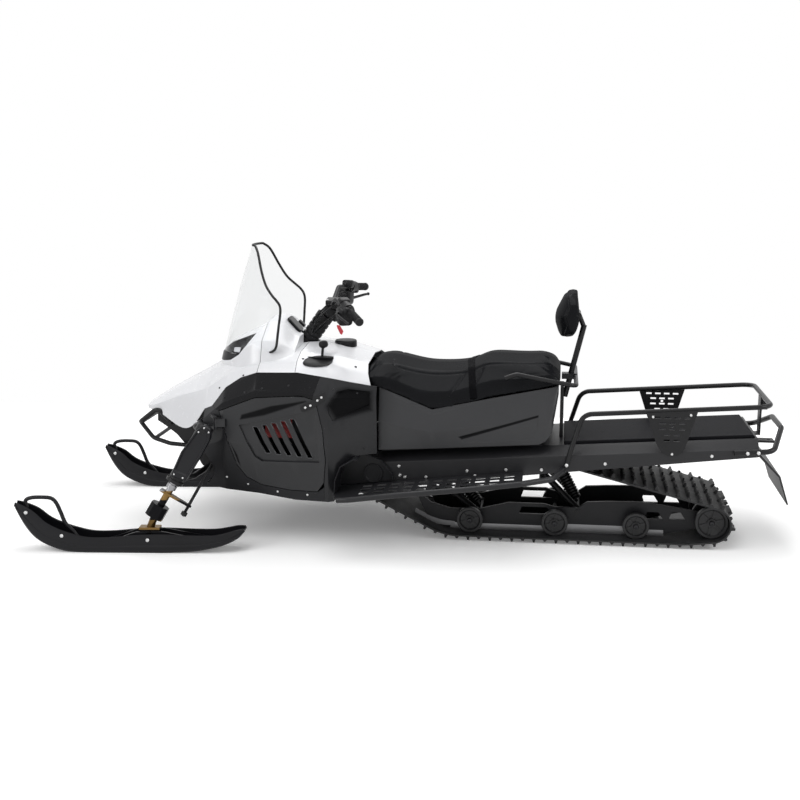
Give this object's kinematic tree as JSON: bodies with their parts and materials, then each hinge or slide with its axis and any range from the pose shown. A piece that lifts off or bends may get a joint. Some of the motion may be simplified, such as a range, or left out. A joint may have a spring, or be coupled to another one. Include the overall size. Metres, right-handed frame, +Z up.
{
  "type": "snowmobile",
  "caption": "Two-seat utility snowmobile with twin steered skis, one rubber track, a clear screen, a padded backrest and a rear cargo rack.",
  "frame": {"origin": "middle of the footprint on the floor", "axes": "+X to the rear, +Y to the rider's right, +Z up"},
  "size_m": [3.4341, 1.3143, 1.3346],
  "materials": {
    "white_cowl": "gloss moulded shell",
    "lamp_lens": "smoked lamp lens",
    "black_panel": "satin moulded panel",
    "black_metal": "satin black coating",
    "track_rubber": "moulded rubber",
    "rail_alloy": "black anodised rail",
    "wheel_rubber": "rubber tyre on a moulded wheel",
    "black_plastic": "moulded plastic",
    "base_plastic": "grained moulded base",
    "seat_vinyl": "grained seat vinyl",
    "clear_screen": "clear sheet with a dark edge",
    "deck_plastic": "grained deck cover",
    "flap_rubber": "flexible rubber sheet",
    "red_lens": "red lens in a black housing",
    "zinc_steel": "yellow zinc plating",
    "ski_plastic": "moulded ski",
    "soft_rubber": "soft moulded rubber",
    "engine_metal": "closed in, not seen",
    "board_metal": "black coated sheet and tube"
  },
  "bodies": {
    "chassis": {"nose_cowl": "white_cowl", "mid_cowl": "white_cowl", "console": "white_cowl", "headlamp": "lamp_lens", "shoulder_trims": "black_panel", "knee_panels": "black_panel", "belly_pan": "black_panel", "tunnel": "black_metal", "track": "track_rubber", "slide_rails": "rail_alloy", "drive_axle": "black_plastic", "track_wheels": "wheel_rubber", "suspension_arms": "black_metal", "shocks": "black_metal", "seat_base": "base_plastic", "seat": "seat_vinyl", "windshield": "clear_screen", "cargo_deck": "deck_plastic", "rack": "black_metal", "rack_plates": "black_metal", "rear_bumper": "black_metal", "hitch": "black_metal", "snow_flap": "flap_rubber", "tail_lamp": "red_lens", "grab_rail": "black_metal", "backrest_post": "black_metal", "backrest_pad": "seat_vinyl", "struts": "black_metal", "front_frame": "black_metal", "front_bumper": "black_metal", "column_bracket": "black_metal", "engine": "engine_metal", "dash_gauge": "black_plastic", "gear_lever": "black_plastic", "fuel_cap": "black_plastic", "footwells": "black_plastic", "running_boards": "board_metal"},
    "handlebar_set": {"steering_column": "black_metal", "steering_boot": "soft_rubber", "handlebar": "black_metal", "grips": "soft_rubber", "bar_controls": "black_plastic"},
    "left_spindle": {"left_ski_leg": "zinc_steel", "left_ski": "ski_plastic"},
    "right_spindle": {"right_ski_leg": "zinc_steel", "right_ski": "ski_plastic"},
    "left_rod": {"left_tie_rod": "black_metal"},
    "right_rod": {"right_tie_rod": "black_metal"},
    "left_door_panel": {"left_door": "black_panel"},
    "right_door_panel": {"right_door": "black_panel"}
  },
  "joints": [
    {"name": "handlebar_turn", "type": "hinge", "parent": "chassis", "child": "handlebar_set", "pos_m": [-0.494, 0, 0.879], "axis": [0.5853, 0, 0.8108], "range_deg": [-54, 36]},
    {"name": "left_ski_steer", "type": "hinge", "parent": "chassis", "child": "left_spindle", "pos_m": [-1.059, -0.56, 0.201], "axis": [0.4885, 0.1543, 0.8588], "range_deg": [-36, 24]},
    {"name": "left_rod_swing", "type": "hinge", "parent": "left_spindle", "child": "left_rod", "pos_m": [-0.9511, -0.55369, 0.17229], "axis": [0.4885, 0.1543, 0.8588], "range_deg": [-24, 36]},
    {"name": "right_ski_steer", "type": "hinge", "parent": "chassis", "child": "right_spindle", "pos_m": [-1.059, 0.56, 0.201], "axis": [0.4885, -0.1543, 0.8588], "range_deg": [-36, 24]},
    {"name": "right_rod_swing", "type": "hinge", "parent": "right_spindle", "child": "right_rod", "pos_m": [-0.9511, 0.57591, 0.17628], "axis": [0.4885, -0.1543, 0.8588], "range_deg": [-24, 36]},
    {"name": "left_door_hinge", "type": "hinge", "parent": "chassis", "child": "left_door_panel", "pos_m": [-0.832, -0.432, 0.48], "axis": [0, 0, -1], "range_deg": [0, 70]},
    {"name": "right_door_hinge", "type": "hinge", "parent": "chassis", "child": "right_door_panel", "pos_m": [-0.832, 0.432, 0.48], "axis": [0, 0, 1], "range_deg": [0, 70]}
  ],
  "couplings": [
    {"joint": "left_ski_steer", "follows": "handlebar_turn", "ratio": 0.6667},
    {"joint": "left_rod_swing", "follows": "handlebar_turn", "ratio": -0.6667},
    {"joint": "right_ski_steer", "follows": "handlebar_turn", "ratio": 0.6667},
    {"joint": "right_rod_swing", "follows": "handlebar_turn", "ratio": -0.6667}
  ]
}
